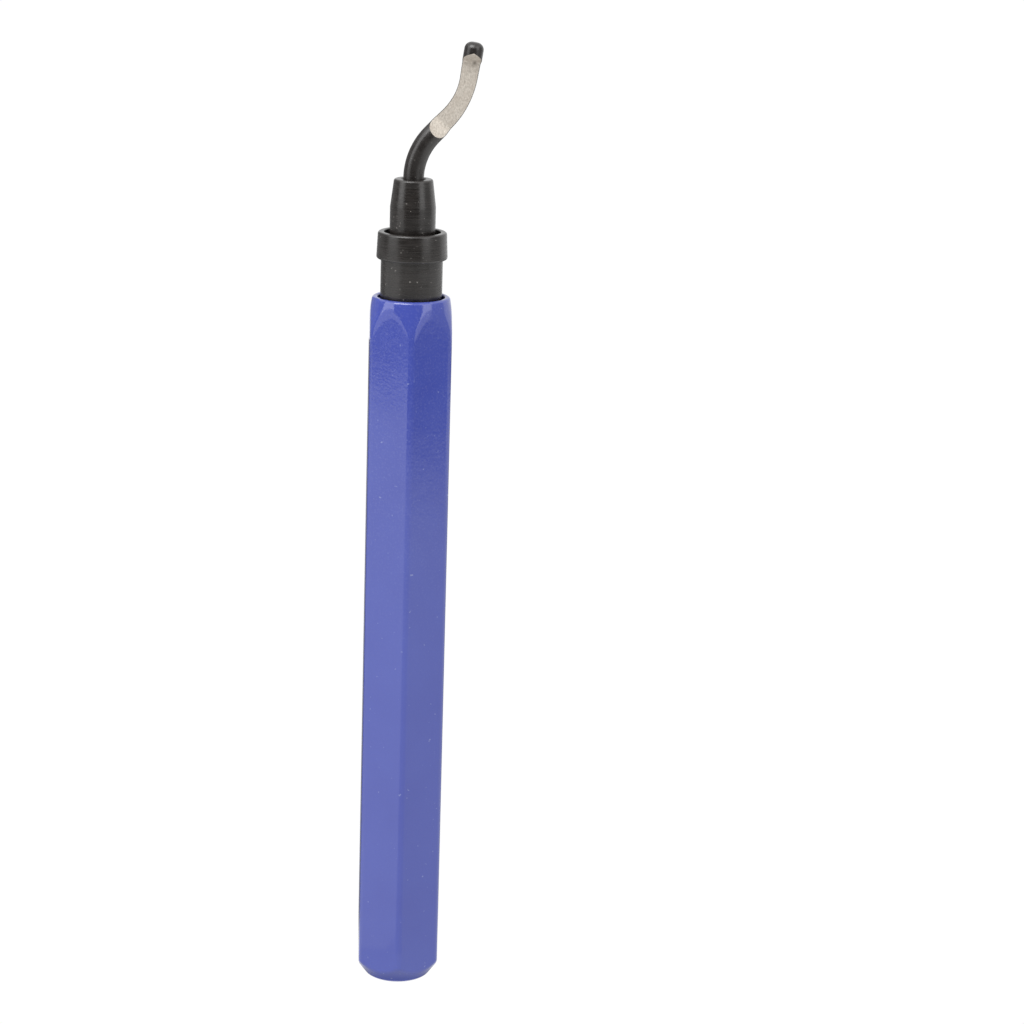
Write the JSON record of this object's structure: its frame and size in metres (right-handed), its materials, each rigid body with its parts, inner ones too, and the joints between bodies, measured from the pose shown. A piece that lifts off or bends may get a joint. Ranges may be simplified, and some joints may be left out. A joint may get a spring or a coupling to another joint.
{
  "type": "deburring tool",
  "caption": "Hand deburring tool: hexagonal painted handle, quick-release chuck with a sprung pull-back sleeve, and a swivelling S-shaped scraper blade for tube and plate edges.",
  "frame": {"origin": "centre of the handle's flat butt face, on the tool's axis", "axes": "+Z along the tool's axis from the butt to the blade; +X square to one flat of the handle and the side to which the blade's hook reaches at rest; -Y towards a handle edge and the side that the blade's ground flat faces at rest"},
  "size_m": [0.0165, 0.0142, 0.1512],
  "materials": {
    "handle_paint": "aluminium bar with glossy blue paint all over",
    "black_oxide_steel": "turned steel with an oiled black-oxide finish",
    "blade_steel": "hardened steel, black outside, bare on the ground flat",
    "spring_steel": "plain spring steel",
    "polished_steel": "polished ball-bearing steel"
  },
  "bodies": {
    "handle_assembly": {"handle": "handle_paint", "chuck_body": "black_oxide_steel", "retaining_ring": "spring_steel", "sleeve_spring": "spring_steel"},
    "sleeve": {"release_sleeve": "black_oxide_steel"},
    "ball_right": {"detent_ball_1": "polished_steel"},
    "ball_left": {"detent_ball_2": "polished_steel"},
    "swivel_blade": {"blade": "blade_steel"}
  },
  "joints": [
    {"name": "sleeve_slide", "type": "slide", "parent": "handle_assembly", "child": "sleeve", "axis": [0, 0, -1], "range_m": [0, 0.003], "stiffness_N_per_m": 265, "springref_m": -0.004, "deforming": ["sleeve_spring"]},
    {"name": "ball_right_slide", "type": "slide", "parent": "handle_assembly", "child": "ball_right", "axis": [1, 0, 0], "range_m": [0, 0.0006]},
    {"name": "ball_left_slide", "type": "slide", "parent": "handle_assembly", "child": "ball_left", "axis": [-1, 0, 0], "range_m": [0, 0.0006]},
    {"name": "blade_swivel", "type": "hinge", "parent": "handle_assembly", "child": "swivel_blade", "pos_m": [0, 0, 0.1157], "axis": [0, 0, 1], "continuous": true}
  ],
  "couplings": [
    {"joint": "ball_right_slide", "follows": "sleeve_slide", "ratio": 0.18},
    {"joint": "ball_left_slide", "follows": "sleeve_slide", "ratio": 0.18}
  ]
}
